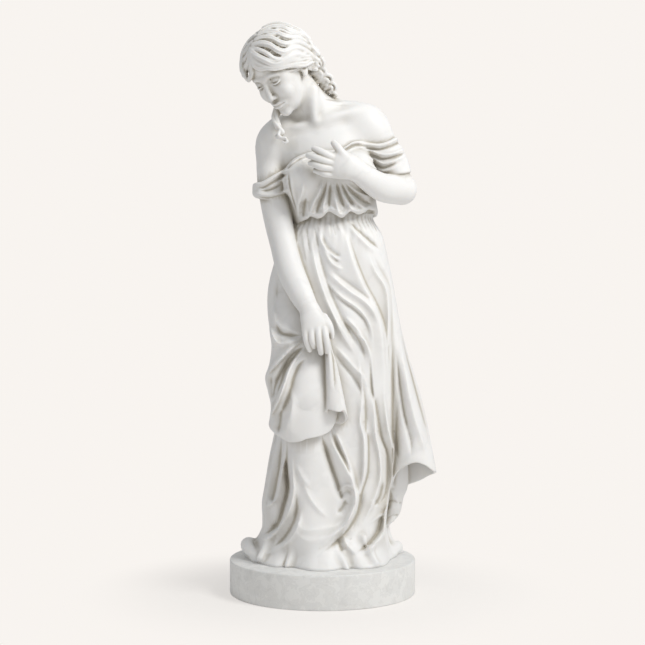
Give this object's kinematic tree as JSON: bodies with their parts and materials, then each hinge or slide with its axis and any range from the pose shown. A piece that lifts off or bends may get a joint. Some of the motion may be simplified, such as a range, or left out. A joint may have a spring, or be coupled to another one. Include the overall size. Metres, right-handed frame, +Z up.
{
  "type": "classical marble statue",
  "caption": "Standing draped woman in white marble, head bowed, hand on her breast, lifting her dress, on a round plinth.",
  "frame": {"origin": "centre of the plinth's flat underside, on the floor", "axes": "+Z up through the plinth's axis; -Y is the front, where the viewer stands; +X is the statue's left"},
  "size_m": [0.6036, 0.544, 1.648],
  "materials": {
    "white_marble": "satin",
    "veined_marble": "satin"
  },
  "bodies": {
    "root": {"figure": "white_marble", "plinth": "veined_marble"}
  },
  "joints": []
}
